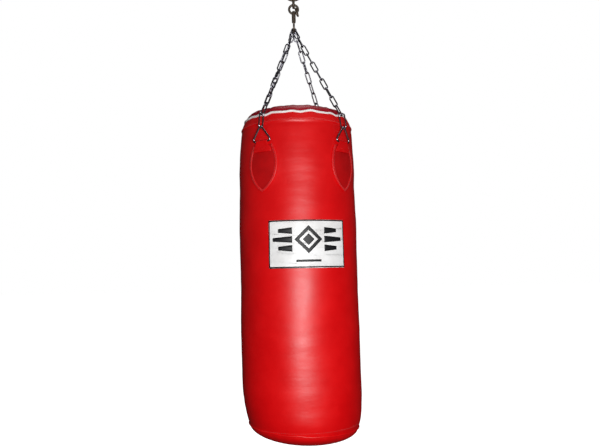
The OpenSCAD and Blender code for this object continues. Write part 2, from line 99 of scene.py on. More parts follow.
def girth_at(depth):
    """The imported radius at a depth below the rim, in metres."""
    d = depth / MM
    for (d0, r0), (d1, r1) in zip(COVER_GIRTH, COVER_GIRTH[1:]):
        if d <= d1:
            t = max(0, (d - d0) / (d1 - d0))
            return (r0 + (r1 - r0) * t) * MM
    return COVER_GIRTH[-1][1] * MM


def bump(off, width):
    """A round bump: 1 in its middle and near 0 at twice its width."""
    return exp(-(off / width) ** 2)


def turned_from(around, turn):
    """How far a turn round the bag is from another, the short way."""
    return (around - turn + pi) % (2 * pi) - pi


def rim_dip(around):
    """How far the rim is dragged down at a turn round the bag, most of all under the chains."""
    pucker = Vector((cos(around) * 5.6, sin(around) * 5.6, 0))
    dip = 3.6 * noise.noise(pucker) + 1.2 * noise.noise(pucker * 0.3)
    for turn in ANCHOR_TURNS:
        dip += 3.0 * bump(turned_from(around, turn), 0.13)
    return dip * MM


def settle(co):
    """Where a point of the bag has gone as its filling sank towards the right of the base."""
    k = min(1, max(0, (RIM_Z - co.z - SETTLE_FROM) / SETTLE_OVER))
    k *= k * (3 - 2 * k)
    tuck = 1 - 0.02 * max(0, -co.x / FOOT_R) ** 2 * k ** 3
    return Vector((co.x * tuck + 4 * MM * k, co.y, co.z - 0.056 * co.x * k))


def finished(name, bm, material, body="bag", smooth=True):
    """Makes the piece from its mesh, gives it its finish and hangs it on its body."""
    bmesh.ops.recalc_face_normals(bm, faces=bm.faces)
    mesh = bpy.data.meshes.new(name)
    bm.to_mesh(mesh)
    bm.free()
    for face in mesh.polygons:
        face.use_smooth = smooth
    piece = bpy.data.objects.new(name, mesh)
    bpy.context.collection.objects.link(piece)
    if material is not None:
        mesh.materials.append(material)
    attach(piece, body)
    return piece


def subdivide(piece, levels):
    """Gives a piece a live subdivision surface."""
    rounding = piece.modifiers.new("rounding", "SUBSURF")
    rounding.levels = rounding.render_levels = levels


# Red PVC film on canvas, calendered with a fine leather grain: a soft, broad gloss
red_vinyl, tree = new_material("red PVC vinyl, embossed")
place = add_node(tree, "TexCoord").outputs["Object"]
grain = add_node(tree, "TexVoronoi", {"Vector": place, "Scale": 1 / 0.0019, "Randomness": 0.9},
                 feature="DISTANCE_TO_EDGE")
long_waves = add_node(tree, "Mapping", {"Vector": place, "Scale": (7, 7, 26)})
ripple = add_node(tree, "TexNoise", {"Vector": long_waves.outputs[0], "Scale": 1.0, "Detail": 3.0,
                                     "Roughness": 0.45})
scuffs = add_node(tree, "TexNoise", {"Vector": place, "Scale": 14.0, "Detail": 6.0,
                                     "Roughness": 0.62})
fine = add_node(tree, "TexNoise", {"Vector": place, "Scale": 160.0, "Detail": 3.0})
tone = add_node(tree, "ValToRGB", {"Fac": scuffs.outputs["Fac"]})
tone.color_ramp.elements[0].position, tone.color_ramp.elements[0].color = 0.32, linear("#DC0207")
tone.color_ramp.elements[1].position, tone.color_ramp.elements[1].color = 0.7, linear("#EA0308")
sheen_map = add_node(tree, "MapRange", {"Value": scuffs.outputs["Fac"], "From Min": 0.3,
                                        "From Max": 0.7, "To Min": 0.37, "To Max": 0.45})
waves = add_node(tree, "Bump", {"Height": ripple.outputs["Fac"], "Distance": 0.004,
                                "Strength": 0.35})
pores = add_node(tree, "Bump", {"Height": grain.outputs["Distance"], "Distance": 0.0006,
                                "Strength": 0.22, "Normal": waves.outputs[0]})
soft = add_node(tree, "Bump", {"Height": fine.outputs["Fac"], "Distance": 0.0005,
                               "Strength": 0.12, "Normal": pores.outputs[0]})
shader = add_node(tree, "BsdfPrincipled", {
    "Base Color": tone.outputs["Color"], "Roughness": sheen_map.outputs[0], "IOR": 1.52,
    "Specular IOR Level": 0.42, "Normal": soft.outputs[0]})
add_node(tree, "OutputMaterial", {"Surface": shader.outputs[0]})

# The tube's outline from the rim to the foot, with close rows at the hem and at both ends,
# closed by a sunk disc under the top panel and a dome just inside the bottom panel
bm = bmesh.new()
rows = [0, 3, 6, 10, 14, 18, 21, 23, 24.5, 26, 28, 31, 35, 40, 46]
rows += [46 + 6.9 * k for k in range(1, 118)] + [860, 866, 871, 875, 879, 882, 884.5, 886]
outline = [(0, -0.002), (40 * MM, -0.002), (80 * MM, -0.001), (115 * MM, 0), (140 * MM, 0)]
outline += [(girth_at(d * MM), -d * MM) for d in rows]
outline += [(156 * MM * cos(radians(a)), -(886 + 45 * sin(radians(a))) * MM) for a in
            range(10, 90, 8)] + [(0, -931 * MM)]
line = [bm.verts.new((0, -r, RIM_Z + z)) for r, z in outline]
edges = [bm.edges.new(pair) for pair in zip(line, line[1:])]
bmesh.ops.spin(bm, geom=line + edges, cent=(0, 0, 0), axis=(0, 0, 1), angle=2 * pi, steps=AROUND,
               use_merge=True)
bmesh.ops.remove_doubles(bm, verts=bm.verts, dist=1e-6)


# The shields sewn over the tube, about their widest line
PATCH_W, PATCH_UP, PATCH_DOWN = 92 * MM, 50 * MM, 81 * MM
PATCH_DEPTH = 141 * MM
PATCH_SIDE_R = ((PATCH_W / 2) ** 2 + PATCH_DOWN ** 2) / PATCH_W    # the arc of a shield's side
HELD_SIDE_R = 94.3 * MM         # the arc along which its seam holds the cover in
COVER_R = 171 * MM              # the tube's radius there, for lengths round it
SHOULDER_R = 170 * MM           # the same a little higher, where the chains lean


def shield_half(z, side_r=PATCH_SIDE_R):
    """Half the shield's width at a height above its widest line."""
    return sqrt(max(0, side_r ** 2 - z ** 2)) - (side_r - PATCH_W / 2)


def sewn_in(around, depth):
    """1 on a seam that holds the cover in, falling to 0 a few millimetres from it."""
    hold = max(bump(depth, 5 * MM), bump(depth - HEM_DEPTH, 4 * MM), bump(depth - SIDE_H, 8 * MM))
    for turn in ANCHOR_TURNS:
        off = abs(turned_from(around, turn)) * COVER_R
        up = PATCH_DEPTH - depth
        if -90 * MM < up < PATCH_UP + 5 * MM and off < 60 * MM:
            edge = shield_half(min(up, PATCH_UP), HELD_SIDE_R)
            hold = max(hold, 0.8 * bump(off - edge, 5 * MM))
    return min(1, hold)


# Before it is filled the cover lies a little slack; the seams stay where they are sewn
bm.verts.ensure_lookup_table()
seams = []
for v in bm.verts:
    around, depth = atan2(v.co.x, -v.co.y), RIM_Z - v.co.z
    r = hypot(v.co.x, v.co.y)
    hold = 1 if r < PANEL_R else sewn_in(around, depth)
    seams.append(hold)
    if r > PANEL_R and depth < SIDE_H - 6 * MM:
        k = 1 - 1.8 * MM * (1 - hold) / r
        v.co.x *= k
        v.co.y *= k
        v.co.z -= rim_dip(around) * exp(-depth / (30 * MM))
cover = finished("bag_cover", bm, red_vinyl)
pinned = cover.vertex_groups.new(name="sewn")
for i, hold in enumerate(seams):
    if hold > 0.05:
        pinned.add([i], hold, "REPLACE")

SWELL = 4 * MM                  # the most the filling moves the cloth between the seams

# The filling presses the cloth out, and the seams hold it
slack = [v.co.copy() for v in cover.data.vertices]
press = cover.modifiers.new("filling", "CLOTH")
press.settings.quality = 5
press.settings.mass = 0.3
press.settings.tension_stiffness = press.settings.compression_stiffness = 20
press.settings.shear_stiffness = 8
press.settings.bending_stiffness = 2
press.settings.use_pressure = True
press.settings.uniform_pressure_force = 4
press.settings.effector_weights.gravity = 0
press.settings.vertex_group_mass = "sewn"
press.point_cache.frame_start, press.point_cache.frame_end = 1, 20
for step in range(1, 21):
    bpy.context.scene.frame_set(step)
filled = cover.evaluated_get(bpy.context.evaluated_depsgraph_get()).to_mesh()
pressed = [v.co.copy() for v in filled.vertices]
cover.modifiers.remove(press)
bpy.context.scene.frame_set(1)
for v, start, end in zip(cover.data.vertices, slack, pressed):
    move = end - start
    if move.length > SWELL:
        move *= SWELL / move.length
    v.co = start + move

# Settled filling: soft lumps a hand wide, flatter rings between them, the hem's raised fold
# and the slight hollow where each chain leans on the shoulder
for v in cover.data.vertices:
    around, depth = atan2(v.co.x, -v.co.y), RIM_Z - v.co.z
    r = hypot(v.co.x, v.co.y)
    if r < PANEL_R or depth > SIDE_H - 2 * MM:
        continue
    free = 1 - bump(depth, 20 * MM) - bump(SIDE_H - depth, 30 * MM)
    lump = noise.noise(Vector((v.co.x * 7.5, v.co.y * 7.5, v.co.z * 6.5 + 3)))
    ring = noise.noise(Vector((v.co.x * 4, v.co.y * 4, v.co.z * 34)))
    push = 3.0 * lump * free + 0.7 * ring * free
    push += 0.3 * bump(depth - HEM_DEPTH, 2.5 * MM) - 0.7 * bump(depth - HEM_DEPTH - 7 * MM, 4 * MM)
    push += 3.5 * max(0, v.co.x / r) ** 2 * bump(depth - 20 * MM, 45 * MM)
    for turn in ANCHOR_TURNS:
        off = turned_from(around, turn) * SHOULDER_R
        push -= 2.0 * bump(off, 20 * MM) * bump(depth - 30 * MM, 30 * MM)
    k = 1 + push * MM / r
    v.co.x *= k
    v.co.y *= k
for v in cover.data.vertices:
    v.co = settle(v.co)
subdivide(cover, 1)
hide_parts("cover_tube", "rim_band", "felt_liner", "filling")

skin = BVHTree.FromObject(cover, bpy.context.evaluated_depsgraph_get())

# ---- Top panel ---------------------------------------------------------------------------------
# A crowned disc of the same vinyl, gathered into the rim seam, its red darkened as painted shade.
# A slot is cut across it for the filling zip, and its edges are turned under.

CROWN = 25.5 * MM
ZIP_CUT = (103.5 * MM, 2.6 * MM)

# The same embossed PVC film, its red darkened as painted shade: a dull sheen, hardly a highlight
shade_painted_vinyl, tree = new_material("red PVC vinyl with painted shade, embossed")
place = add_node(tree, "TexCoord").outputs["Object"]
grain = add_node(tree, "TexVoronoi", {"Vector": place, "Scale": 1 / 0.0019, "Randomness": 0.9},
                 feature="DISTANCE_TO_EDGE")
scuffs = add_node(tree, "TexNoise", {"Vector": place, "Scale": 18.0, "Detail": 6.0,
                                     "Roughness": 0.6})
# Both reds are the body's red darkened to paint the shade on the upturned panel
tone = add_node(tree, "ValToRGB", {"Fac": scuffs.outputs["Fac"]})
tone.color_ramp.elements[0].position, tone.color_ramp.elements[0].color = 0.3, linear("#8C0216")
tone.color_ramp.elements[1].position, tone.color_ramp.elements[1].color = 0.72, linear("#A90522")
pores = add_node(tree, "Bump", {"Height": grain.outputs["Distance"], "Distance": 0.0006,
                                "Strength": 0.25})
shader = add_node(tree, "BsdfPrincipled", {
    "Base Color": tone.outputs["Color"], "Roughness": 0.44, "IOR": 1.52,
    "Specular IOR Level": 0.28, "Normal": pores.outputs[0]})
add_node(tree, "OutputMaterial", {"Surface": shader.outputs[0]})

bm = bmesh.new()
crown = [(118 * MM * t, CROWN) for t in (0, 0.08, 0.2, 0.35, 0.5, 0.65, 0.78, 0.9)]
crown += [((118 + 31 * sin(radians(a))) * MM, CROWN * cos(radians(a))) for a in range(0, 91, 9)]
line = [bm.verts.new((0, -r, RIM_Z + z)) for r, z in crown]
edges = [bm.edges.new(pair) for pair in zip(line, line[1:])]
bmesh.ops.spin(bm, geom=line + edges, cent=(0, 0, 0), axis=(0, 0, 1), angle=2 * pi, steps=144,
               use_merge=True)
bmesh.ops.remove_doubles(bm, verts=bm.verts, dist=1e-6)
for v in bm.verts:
    around, r = atan2(v.co.x, -v.co.y), hypot(v.co.x, v.co.y)
    edge = max(0, (r - 0.09) / (PANEL_R - 0.09))
    gather = noise.noise(Vector((sin(around) * 7, cos(around) * 7, 5.0)))
    v.co.z -= rim_dip(around) * edge ** 2
    v.co.z -= (0.9 + 1.4 * gather) * MM * edge * (1 - edge) * (1 + sin(40 * around)) * 2
for x, y in ((1, 0), (-1, 0), (0, 1), (0, -1)):
    bmesh.ops.bisect_plane(bm, geom=bm.verts[:] + bm.edges[:] + bm.faces[:], dist=1e-6,
                           plane_co=(x * ZIP_CUT[0], y * ZIP_CUT[1], 0), plane_no=(x, y, 0))
inside = [f for f in bm.faces if abs(f.calc_center_median().x) < ZIP_CUT[0]
          and abs(f.calc_center_median().y) < ZIP_CUT[1]]
bmesh.ops.delete(bm, geom=inside, context="FACES")
bmesh.ops.recalc_face_normals(bm, faces=bm.faces)
if sum(f.normal.z for f in bm.faces) < 0:
    bmesh.ops.reverse_faces(bm, faces=bm.faces)
bmesh.ops.solidify(bm, geom=bm.faces[:], thickness=1.8 * MM)
top_panel = finished("bag_top_panel", bm, shade_painted_vinyl)
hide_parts("top_panel")

# ---- Rim piping --------------------------------------------------------------------------------
# A white vinyl cord sewn into the seam between tube and top. It rides up and down with the
# seam and is a little soiled where hands and chains touch it.

# Extruded soft PVC, smooth and a little waxy, with grey soiling in patches
white_vinyl, tree = new_material("white PVC piping")
place = add_node(tree, "TexCoord").outputs["Object"]
soil = add_node(tree, "TexNoise", {"Vector": place, "Scale": 45.0, "Detail": 5.0})
tone = add_node(tree, "ValToRGB", {"Fac": soil.outputs["Fac"]})
tone.color_ramp.elements[0].position, tone.color_ramp.elements[0].color = 0.3, linear("#F1ECE8")
tone.color_ramp.elements[1].position, tone.color_ramp.elements[1].color = 0.62, linear("#FFFFFF")
wrinkle = add_node(tree, "Bump", {"Height": soil.outputs["Fac"], "Distance": 0.0008,
                                  "Strength": 0.4})
shader = add_node(tree, "BsdfPrincipled", {
    "Base Color": tone.outputs["Color"], "Roughness": 0.42, "IOR": 1.52,
    "Normal": wrinkle.outputs[0]})
add_node(tree, "OutputMaterial", {"Surface": shader.outputs[0]})


def seam_cord(bm, centre_r, centre_z, cord_r, steps):
    """A round cord laid in a full ring."""
    upright = Matrix.Translation((0, -centre_r, centre_z)) @ Matrix.Rotation(pi / 2, 4, "Y")
    ring = bmesh.ops.create_circle(bm, segments=14, radius=cord_r, matrix=upright)["verts"]
    rim = [e for e in bm.edges if e.verts[0] in ring and e.verts[1] in ring]
    bmesh.ops.spin(bm, geom=ring + rim, cent=(0, 0, 0), axis=(0, 0, 1), angle=2 * pi, steps=steps,
                   use_merge=True)
    bmesh.ops.remove_doubles(bm, verts=bm.verts, dist=1e-6)


bm = bmesh.new()
seam_cord(bm, 151.8 * MM, RIM_Z, 3.4 * MM, 300)
for v in bm.verts:
    around = atan2(v.co.x, -v.co.y)
    v.co.z += -rim_dip(around) + 0.5 * MM * noise.noise(Vector((v.co.x * 60, v.co.y * 60, 0)))
piping = finished("bag_rim_piping", bm, white_vinyl)
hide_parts("rim_piping")

# ---- Bottom panel and welt ---------------------------------------------------------------------
# The base is one disc of vinyl, pulled into a shallow dome by the weight on it and gathered at
# its edge. A cord covered in the body's vinyl is sewn into the seam all round.

DOME = 50 * MM

bm = bmesh.new()
dome = [(159.6 * MM * cos(radians(a)), -DOME * sin(radians(a))) for a in range(0, 90, 5)]
line = [bm.verts.new((0, -r, FOOT_Z + z)) for r, z in dome + [(0, -DOME)]]
edges = [bm.edges.new(pair) for pair in zip(line, line[1:])]
bmesh.ops.spin(bm, geom=line + edges, cent=(0, 0, 0), axis=(0, 0, 1), angle=2 * pi, steps=160,
               use_merge=True)
bmesh.ops.remove_doubles(bm, verts=bm.verts, dist=1e-6)
for v in bm.verts:
    around, r = atan2(v.co.x, -v.co.y), hypot(v.co.x, v.co.y)
    down = (FOOT_Z - v.co.z) / DOME
    gather = sin(36 * around + 2.5 * noise.noise(Vector((v.co.x * 8, v.co.y * 8, 1))))
    lump = noise.noise(Vector((v.co.x * 10, v.co.y * 10, v.co.z * 10)))
    squeeze = 0.9 * gather * down * (1 - down) ** 2 * 5 + 1.2 * lump * down
    if r > 0.001:
        v.co.x *= 1 + squeeze * MM / r * (1 - down)
        v.co.y *= 1 + squeeze * MM / r * (1 - down)
    v.co.z += squeeze * MM * down
    v.co = settle(v.co)
bottom_panel = finished("bag_bottom_panel", bm, red_vinyl)
subdivide(bottom_panel, 1)
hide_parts("bottom_panel")

bm = bmesh.new()
seam_cord(bm, 160.4 * MM, FOOT_Z, 2.4 * MM, 240)
for v in bm.verts:
    v.co.z += 2.2 * MM * noise.noise(Vector((v.co.x * 24, v.co.y * 24, 3)))
    v.co = settle(v.co)
welt = finished("bag_bottom_welt", bm, red_vinyl)
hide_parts("bottom_welt")

# ---- Label -------------------------------------------------------------------------------------
# A white vinyl panel heat-welded to the front of the tube, screen-printed in black with a thin
# border line and a plain emblem of a diamond between tapering bars.

LABEL_TURN = radians(9.5)
LABEL_Z = (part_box("label_panel")[0].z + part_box("label_panel")[1].z) / 2
LABEL_W, LABEL_H = 221 * MM, 131 * MM

# Calendered PVC film, plain and smooth: an even white with a broad soft gloss
label_vinyl, tree = new_material("white PVC label film")
place = add_node(tree, "TexCoord").outputs["Object"]
soil = add_node(tree, "TexNoise", {"Vector": place, "Scale": 22.0, "Detail": 5.0})
tone = add_node(tree, "ValToRGB", {"Fac": soil.outputs["Fac"]})
tone.color_ramp.elements[0].position, tone.color_ramp.elements[0].color = 0.3, linear("#F2F0EF")
tone.color_ramp.elements[1].position, tone.color_ramp.elements[1].color = 0.6, linear("#FFFFFF")
dent = add_node(tree, "Bump", {"Height": soil.outputs["Fac"], "Distance": 0.0015,
                               "Strength": 0.2})
shader = add_node(tree, "BsdfPrincipled", {
    "Base Color": tone.outputs["Color"], "Roughness": 0.4, "IOR": 1.52,
    "Normal": dent.outputs[0]})
add_node(tree, "OutputMaterial", {"Surface": shader.outputs[0]})

# Solvent ink pulled through a screen: near black, and slightly uneven in its cover
label_ink, tree = new_material("black screen-printing ink")
place = add_node(tree, "TexCoord").outputs["Object"]
cover_power = add_node(tree, "TexNoise", {"Vector": place, "Scale": 300.0, "Detail": 3.0})
tone = add_node(tree, "ValToRGB", {"Fac": cover_power.outputs["Fac"]})
tone.color_ramp.elements[0].position, tone.color_ramp.elements[0].color = 0.3, linear("#0B0C0F")
tone.color_ramp.elements[1].position, tone.color_ramp.elements[1].color = 0.7, linear("#17181C")
shader = add_node(tree, "BsdfPrincipled", {
    "Base Color": tone.outputs["Color"], "Roughness": 0.5, "IOR": 1.5})
add_node(tree, "OutputMaterial", {"Surface": shader.outputs[0]})


def lay_on_cover(bm, turn, z_mid, lift=0.0):
    """Wraps a flat piece, drawn facing -Y, round the cover at a turn and a height."""
    for v in bm.verts:
        around = turn + v.co.x / COVER_R
        out = Vector((sin(around), -cos(around), 0))
        z = z_mid + v.co.z
        hit = skin.ray_cast(out * 0.4 + Vector((0, 0, z)), -out)[0]
        v.co = out * (hypot(hit.x, hit.y) + lift - v.co.y) + Vector((0, 0, z))


def flat_bar(bm, x0, x1, z0, z1, taper=1.0, cells=16):
    """A flat bar of faces; taper is the far end's height over the near end's."""
    made = bmesh.ops.create_grid(bm, x_segments=cells, y_segments=3, size=0.5)["verts"]
    for v in made:
        t = v.co.x + 0.5
        height = 1 + (taper - 1) * t
        v.co = Vector((x0 + (x1 - x0) * t, 0, (z0 + z1) / 2 + (z1 - z0) * v.co.y * height))


def thicken(bm, thick):
    """Turns flat faces into a closed sheet that rises towards -Y."""
    bmesh.ops.solidify(bm, geom=bm.faces[:], thickness=thick)
    low = max(v.co.y for v in bm.verts)
    bmesh.ops.translate(bm, verts=bm.verts, vec=(0, -low, 0))


bm = bmesh.new()
bmesh.ops.create_grid(bm, x_segments=64, y_segments=36, size=0.5)
for v in bm.verts:
    v.co = Vector((v.co.x * LABEL_W, 0, v.co.y * LABEL_H))
corner = 3 * MM
for v in bm.verts:
    over_x, over_z = abs(v.co.x) - LABEL_W / 2 + corner, abs(v.co.z) - LABEL_H / 2 + corner
    if over_x > 0 and over_z > 0:
        reach = hypot(over_x, over_z)
        if reach > corner:
            v.co.x -= (1 if v.co.x > 0 else -1) * over_x * (1 - corner / reach)
            v.co.z -= (1 if v.co.z > 0 else -1) * over_z * (1 - corner / reach)
thicken(bm, 0.8 * MM)
lay_on_cover(bm, LABEL_TURN, LABEL_Z, 0.3 * MM)
label = finished("label_panel_sheet", bm, label_vinyl)
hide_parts("label_panel")

bm = bmesh.new()
half_w, half_h, line_w = LABEL_W / 2 - 0.6 * MM, LABEL_H / 2 - 0.6 * MM, 3.4 * MM
for side in (-1, 1):
    flat_bar(bm, -half_w, half_w, side * half_h, side * (half_h - line_w), cells=64)
    flat_bar(bm, side * half_w, side * (half_w - line_w), -half_h, half_h, cells=3)
    for level, reach in ((36, 0.84), (12, 1.0), (-12, 0.84)):
        flat_bar(bm, side * 44 * MM, side * 98 * MM * reach, (level - 9) * MM,
                 (level + 9) * MM, taper=0.55)
middle = Vector((0, 0, 12 * MM))
bmesh.ops.create_grid(bm, x_segments=24, y_segments=24, size=27 * MM,
                      matrix=Matrix.Translation(middle) @ Matrix.Rotation(pi / 4, 4, "Y")
                      @ Matrix.Rotation(pi / 2, 4, "X"))
groove = [f for f in bm.faces if 17 * MM < abs(f.calc_center_median().x)
          + abs(f.calc_center_median().z - middle.z) < 25 * MM]
bmesh.ops.delete(bm, geom=groove, context="FACES")
flat_bar(bm, -34 * MM, 34 * MM, -49 * MM, -43 * MM)
thicken(bm, 0.15 * MM)
lay_on_cover(bm, LABEL_TURN, LABEL_Z, 1.1 * MM)
finished("label_print", bm, label_ink)

# ---- Loops and shield patches ------------------------------------------------------------------
# Four shields of doubled vinyl spread the chains' pull over the tube. Each has a bound edge with
# two rows of stitching. A loop of the body's vinyl goes round the base of its ring, and its front
# end spreads over the shield's top and is sewn down with two more rows.

PATCH_Z = RIM_Z - PATCH_DEPTH
PATCH_T = 2.4 * MM
BINDING = 7.5 * MM

# Bonded three-ply polyester: paler than the vinyl, with a faint sheen along its plies
thread, tree = new_material("red polyester thread")
place = add_node(tree, "TexCoord").outputs["Object"]
ply = add_node(tree, "TexNoise", {"Vector": place, "Scale": 700.0, "Detail": 2.0})
tone = add_node(tree, "ValToRGB", {"Fac": ply.outputs["Fac"]})
tone.color_ramp.elements[0].position, tone.color_ramp.elements[0].color = 0.3, linear("#C02A2E")
tone.color_ramp.elements[1].position, tone.color_ramp.elements[1].color = 0.7, linear("#E0575A")
shader = add_node(tree, "BsdfPrincipled", {
    "Base Color": tone.outputs["Color"], "Roughness": 0.6, "Sheen Weight": 0.2})
add_node(tree, "OutputMaterial", {"Surface": shader.outputs[0]})

# Heavier PVC cloth with the same grain, in a deeper red and with less gloss than the body
patch_vinyl, tree = new_material("deep red PVC vinyl, patch")
place = add_node(tree, "TexCoord").outputs["Object"]
grain = add_node(tree, "TexVoronoi", {"Vector": place, "Scale": 1 / 0.0019, "Randomness": 0.9},
                 feature="DISTANCE_TO_EDGE")
scuffs = add_node(tree, "TexNoise", {"Vector": place, "Scale": 30.0, "Detail": 5.0})
tone = add_node(tree, "ValToRGB", {"Fac": scuffs.outputs["Fac"]})
tone.color_ramp.elements[0].position, tone.color_ramp.elements[0].color = 0.3, linear("#B80206")
tone.color_ramp.elements[1].position, tone.color_ramp.elements[1].color = 0.7, linear("#CC0409")
pores = add_node(tree, "Bump", {"Height": grain.outputs["Distance"], "Distance": 0.0006,
                                "Strength": 0.25})
shader = add_node(tree, "BsdfPrincipled", {
    "Base Color": tone.outputs["Color"], "Roughness": 0.46, "IOR": 1.52,
    "Specular IOR Level": 0.35, "Normal": pores.outputs[0]})
add_node(tree, "OutputMaterial", {"Surface": shader.outputs[0]})


def shield_path(inset):
    """Points round the shield from top left, down to the tip and up to top right."""
    heights = [PATCH_UP - inset * 0.6 - (PATCH_UP + PATCH_DOWN - inset * 1.7) * k / 44
               for k in range(45)]
    right = [Vector((max(0, shield_half(z) - inset), 0, z)) for z in heights]
    return [Vector((-p.x, 0, p.z)) for p in right] + right[::-1][1:]


def spaced(path, pitch):
    """Places at an even pitch along a path, each with the path's direction there."""
    places, walked, due = [], 0.0, pitch / 2
    for a, b in zip(path, path[1:]):
        span = (b - a).length
        while span > 0 and walked + span >= due:
            places.append((a.lerp(b, (due - walked) / span), (b - a).normalized()))
            due += pitch
        walked += span
    return places


def sew(bm, path, pitch, length, lift):
    """A row of rounded stitches laid along a path."""
    for at, along in spaced(path, pitch):
        turn_to = Vector((1, 0, 0)).rotation_difference(along).to_matrix().to_4x4()
        shape = (Matrix.Translation((at.x, -lift, at.z)) @ turn_to
                 @ Matrix.Diagonal((length / 2, 0.55 * MM, 0.6 * MM, 1)))
        bmesh.ops.create_uvsphere(bm, u_segments=6, v_segments=4, radius=1, matrix=shape)


def ribbon(bm, path, width, thick):
    """A flat band with rounded edges laid along a path in the piece's own plane."""
    curve = bpy.data.curves.new("path", "CURVE")
    curve.dimensions = "3D"
    curve.bevel_depth, curve.bevel_resolution = 1.0, 3
    curve.use_fill_caps = True
    spline = curve.splines.new("POLY")
    spline.points.add(len(path) - 1)
    for point, at in zip(spline.points, path):
        point.co = (at.x / (width / 2), 0, at.z / (width / 2), 1)
    holder = bpy.data.objects.new("path", curve)
    swept = bpy.data.meshes.new_from_object(holder)
    for v in swept.vertices:
        v.co = (v.co.x * width / 2, v.co.y * thick / 2, v.co.z * width / 2)
    bm.from_mesh(swept)
    bpy.data.objects.remove(holder)
    bpy.data.curves.remove(curve)
    bpy.data.meshes.remove(swept)


# The loop's middle line, outwards and up from the ring's base bar: up behind the bar, over it and
# down in front of it on to the shield, in millimetres
LOOP_W = 38 * MM
BAR_OUT, BAR_DOWN = 172.6 * MM, 82 * MM
LOOP_PATH = [(-3.6, -56), (-4.0, -40), (-4.4, -24), (-4.2, -10), (-3.6, -3)]
LOOP_PATH += [(3.5 * cos(radians(a)), 3.5 * sin(radians(a))) for a in range(180, -41, -20)]
LOOP_PATH += [(2.9, -6), (2.2, -10), (2.0, -14), (2.2, -19), (2.4, -24), (2.6, -29)]

for name, turn in zip(ANCHOR_NAMES, ANCHOR_TURNS):
    to_anchor = (Matrix.Translation((0, 0, RIM_Z - BAR_DOWN)) @ Matrix.Rotation(turn, 4, "Z")
                 @ Matrix.Translation((0, -BAR_OUT, 0)))
    bm = bmesh.new()
    line = [bm.verts.new((-LOOP_W / 2, -out * MM, up * MM)) for out, up in LOOP_PATH]
    edges = [bm.edges.new(pair) for pair in zip(line, line[1:])]
    bmesh.ops.spin(bm, geom=line + edges, dvec=(LOOP_W / 12, 0, 0), axis=(1, 0, 0), angle=0,
                   steps=12)
    bmesh.ops.solidify(bm, geom=bm.faces[:], thickness=1.5 * MM)
    bmesh.ops.bevel(bm, geom=[e for e in bm.edges if e.is_manifold
                              and e.calc_face_angle(0) > 1.2],
                    offset=0.4 * MM, segments=2, profile=0.5, material=-1, affect="EDGES")
    for down in (20, 25.5):
        sew(bm, [Vector((-LOOP_W * 0.47, 0, -down * MM)), Vector((LOOP_W * 0.47, 0, -down * MM))],
            3.1 * MM, 2.2 * MM, 3.1 * MM)
    for v in bm.verts:
        flare = min(1, max(0, (-5 * MM - v.co.z) / (16 * MM))) * (v.co.y < 0)
        v.co.x *= 1 + 0.6 * flare
        v.co.y += v.co.x ** 2 / (2 * COVER_R) * flare
    bmesh.ops.transform(bm, matrix=to_anchor, verts=bm.verts)
    loop = finished("anchor_loop_" + name, bm, red_vinyl)
    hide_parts("loop_" + name)

    bm = bmesh.new()
    bmesh.ops.create_grid(bm, x_segments=22, y_segments=34, size=0.5)
    for v in bm.verts:
        z = -PATCH_DOWN + (PATCH_UP + PATCH_DOWN) * (v.co.y + 0.5)
        v.co = Vector((2 * v.co.x * shield_half(z), 0, z))
    bmesh.ops.remove_doubles(bm, verts=bm.verts, dist=1e-5)
    thicken(bm, PATCH_T)
    lay_on_cover(bm, turn, PATCH_Z, 0.2 * MM)
    patch = finished("shield_" + name, bm, patch_vinyl)
    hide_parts("patch_" + name)

    bm = bmesh.new()
    ribbon(bm, shield_path(BINDING * 0.35), BINDING, 1.8 * MM)
    lay_on_cover(bm, turn, PATCH_Z, PATCH_T)
    finished("shield_binding_" + name, bm, red_vinyl)

    bm = bmesh.new()
    for inset in (BINDING * 0.1, BINDING * 0.62):
        sew(bm, shield_path(inset), 4.6 * MM, 3.4 * MM, 0.9 * MM)
    lay_on_cover(bm, turn, PATCH_Z, PATCH_T)
    finished("shield_stitching_" + name, bm, thread)

# ---- Seam stitching ----------------------------------------------------------------------------
# Lockstitch in the same red thread runs round the hem below the piping and just above the welt.

for name, depth, pitch in (("hem", 25 * MM, 6.4 * MM), ("foot", 878 * MM, 6.4 * MM)):
    bm = bmesh.new()
    round_trip = 2 * pi * COVER_R
    sew(bm, [Vector((0, 0, 0)), Vector((round_trip, 0, 0))], round_trip / ceil(round_trip / pitch),
        4.4 * MM, -0.2 * MM)
    lay_on_cover(bm, 0, RIM_Z - depth)
    finished("stitching_" + name, bm, thread)

# ---- Rings, hooks and chains -------------------------------------------------------------------
# Bent and drawn steel, electroplated with nickel on the hooks and rings and with zinc on the
# chain. The gates turn on riveted pins and are held shut by small wire springs.


def finish_node(material, *nodes):
    """Gives the frame's own pieces their finish."""
    for node in nodes:
        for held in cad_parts[node].material_slots:
            held.material = material


# Bright nickel over drawn steel: clear reflections, dulled in small patches by handling
plated_rod, tree = new_material("nickel-plated steel rod")
place = add_node(tree, "TexCoord").outputs["Object"]
dull = add_node(tree, "TexNoise", {"Vector": place, "Scale": 90.0, "Detail": 6.0,
                                   "Roughness": 0.65})
tone = add_node(tree, "ValToRGB", {"Fac": dull.outputs["Fac"]})
tone.color_ramp.elements[0].position, tone.color_ramp.elements[0].color = 0.32, linear("#77767E")
tone.color_ramp.elements[1].position, tone.color_ramp.elements[1].color = 0.6, linear("#BFBEC6")
polish = add_node(tree, "MapRange", {"Value": dull.outputs["Fac"], "From Min": 0.3,
                                     "From Max": 0.7, "To Min": 0.36, "To Max": 0.2})
pits = add_node(tree, "Bump", {"Height": dull.outputs["Fac"], "Distance": 0.0003,
                               "Strength": 0.3})
shader = add_node(tree, "BsdfPrincipled", {
    "Base Color": tone.outputs["Color"], "Metallic": 1.0, "Roughness": polish.outputs[0],
    "Normal": pits.outputs[0]})
add_node(tree, "OutputMaterial", {"Surface": shader.outputs[0]})

